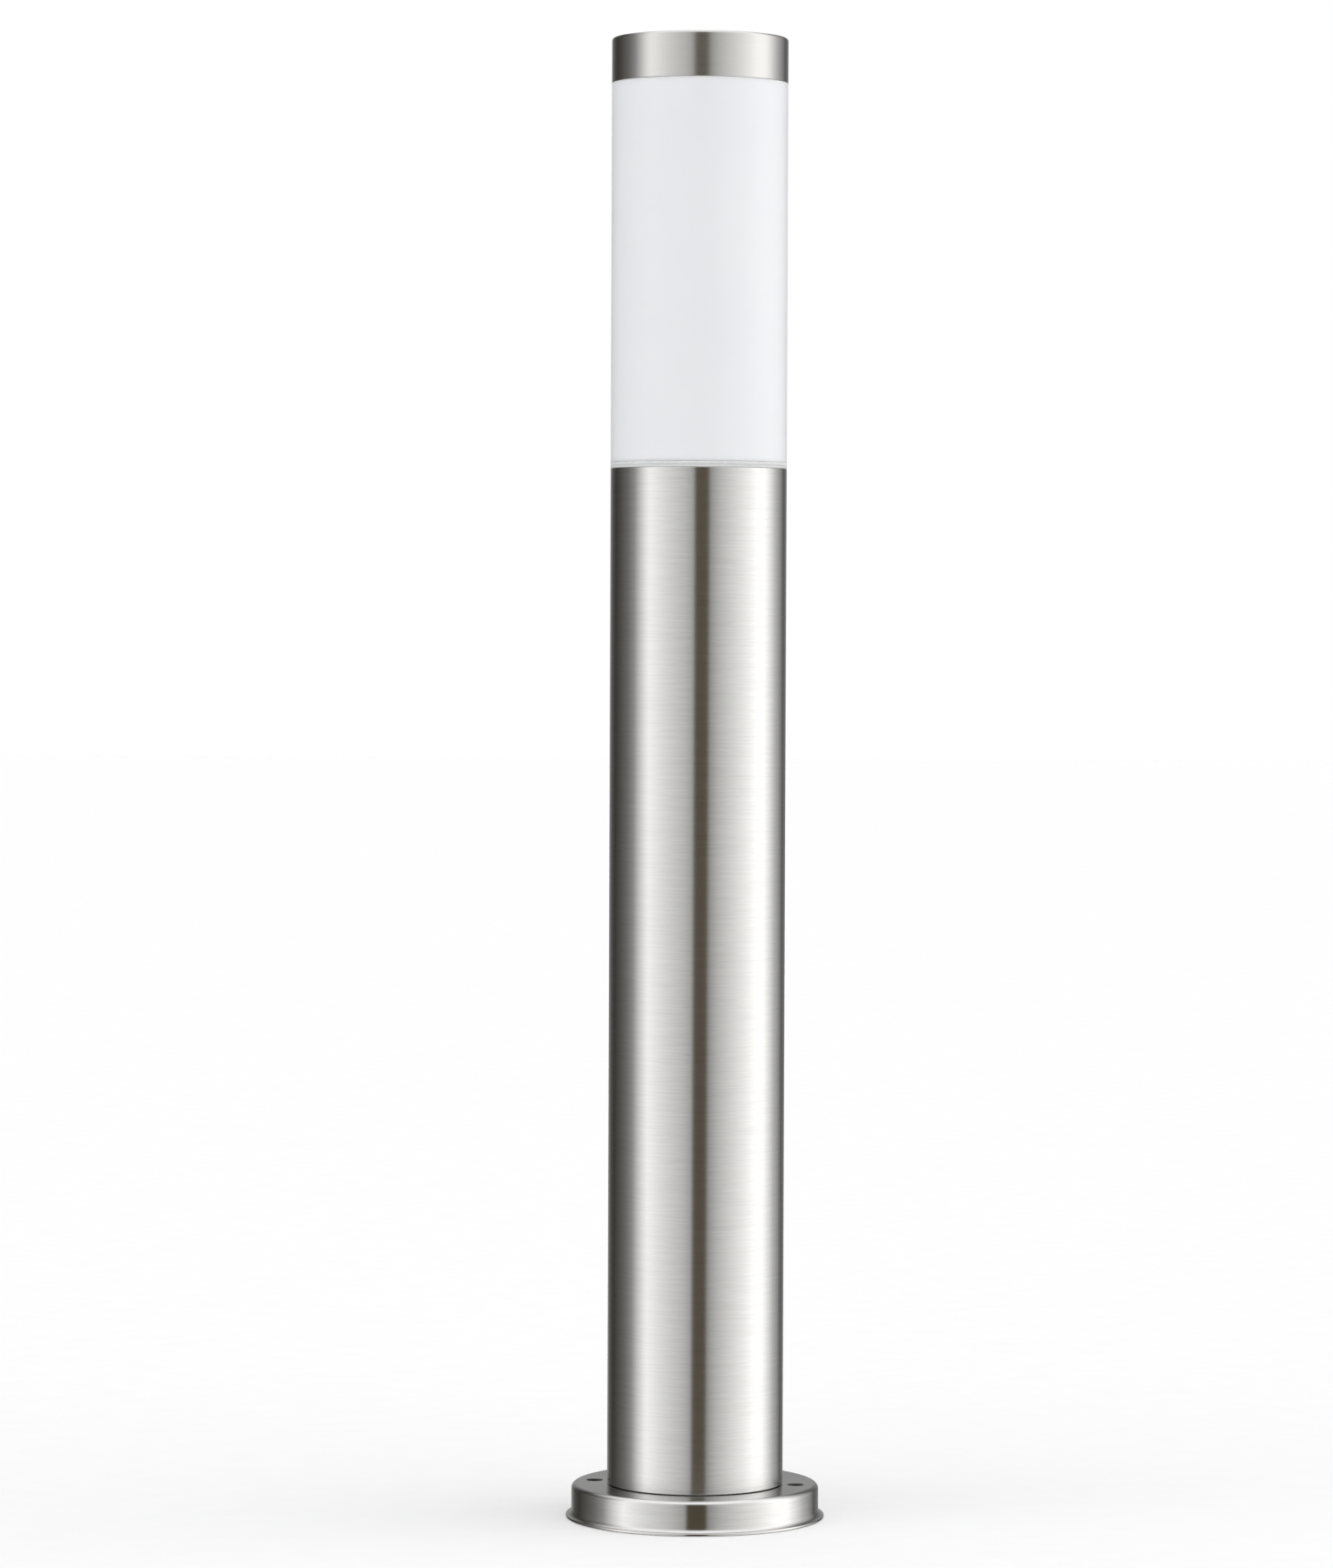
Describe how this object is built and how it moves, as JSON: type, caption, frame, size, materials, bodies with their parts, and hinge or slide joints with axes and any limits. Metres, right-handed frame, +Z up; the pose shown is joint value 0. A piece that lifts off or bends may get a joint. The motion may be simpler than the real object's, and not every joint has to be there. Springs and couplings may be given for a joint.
{
  "type": "bollard light",
  "caption": "Round brushed steel garden bollard light: slim post on a low drawn base flange, tall opal diffuser head with a flat steel cap, screw lamp inside.",
  "frame": {"origin": "on the ground, on the post's axis, at the underside of the base flange's lip", "axes": "+Z up the post, -Y towards the front, +X to the right seen from the front"},
  "size_m": [0.112, 0.112, 0.64],
  "materials": {
    "brushed_steel": "stainless steel brushed around its axis",
    "zinc_steel": "zinc plated",
    "brass": "plain",
    "nickel": "nickel plated",
    "opal_plastic": "opal, satin gloss",
    "white_plastic": "moulded",
    "silicone": "translucent light grey",
    "black_rubber": "matte",
    "porcelain": "glazed",
    "black_glass": "opaque vitrite",
    "brown_lead": "insulation",
    "blue_lead": "insulation",
    "green_lead": "green and yellow insulation"
  },
  "bodies": {
    "post": {"base_flange": "brushed_steel", "post_tube": "brushed_steel", "base_plate": "zinc_steel", "tie_rod_left": "zinc_steel", "tie_rod_right": "zinc_steel", "base_nut_left": "zinc_steel", "base_nut_right": "zinc_steel", "base_washer_left": "zinc_steel", "base_washer_right": "zinc_steel", "carrier_nut_left": "zinc_steel", "carrier_nut_right": "zinc_steel", "carrier_washer_left": "zinc_steel", "carrier_washer_right": "zinc_steel", "earth_washer": "zinc_steel", "earth_lug": "brass", "earth_screw": "brass", "terminal_bracket": "zinc_steel", "bracket_rivet_left": "zinc_steel", "bracket_rivet_right": "zinc_steel", "terminal_block": "white_plastic", "terminal_block_screw": "zinc_steel", "terminal_sleeve_live": "brass", "terminal_sleeve_earth": "brass", "terminal_sleeve_neutral": "brass", "cable_grommet": "black_rubber", "wire_live": "brown_lead", "wire_neutral": "blue_lead", "earth_wire": "green_lead", "lamp_carrier": "white_plastic", "lampholder_body": "porcelain", "lampholder_shell": "nickel", "lampholder_contact": "brass", "lampholder_strap": "brass", "lampholder_screw_front": "zinc_steel", "lampholder_screw_back": "zinc_steel", "lampholder_nut_front": "zinc_steel", "lampholder_nut_back": "zinc_steel", "terminal_screw_live_lower": "zinc_steel", "terminal_screw_live_upper": "zinc_steel", "terminal_screw_earth_lower": "zinc_steel", "terminal_screw_earth_upper": "zinc_steel", "terminal_screw_neutral_lower": "zinc_steel", "terminal_screw_neutral_upper": "zinc_steel"},
    "seal": {"head_seal": "silicone"},
    "head": {"diffuser": "opal_plastic", "top_cap": "brushed_steel", "cap_stud": "zinc_steel", "cap_washer": "black_rubber", "cap_nut": "zinc_steel"},
    "lamp_seat": {"lamp_tip": "nickel"},
    "lamp": {"lamp_insulator": "black_glass", "lamp_screw_cap": "nickel", "lamp_housing": "white_plastic", "lamp_board": "white_plastic", "lamp_globe": "opal_plastic"}
  },
  "joints": [
    {"name": "head_lift", "type": "slide", "parent": "post", "child": "seal", "axis": [0, 0, 1], "range_m": [0, 0.15]},
    {"name": "head_turn", "type": "hinge", "parent": "seal", "child": "head", "pos_m": [0, 0, 0.457], "axis": [0, 0, -1], "range_deg": [0, 60]},
    {"name": "lamp_travel", "type": "slide", "parent": "post", "child": "lamp_seat", "axis": [0, 0, 1], "range_m": [0, 0.01815]},
    {"name": "lamp_turn", "type": "hinge", "parent": "lamp_seat", "child": "lamp", "pos_m": [0, 0, 0.4302], "axis": [0, 0, 1], "range_deg": [0, 1800]}
  ],
  "couplings": [
    {"joint": "lamp_travel", "follows": "lamp_turn", "m_per_rad": 0.00057757}
  ]
}
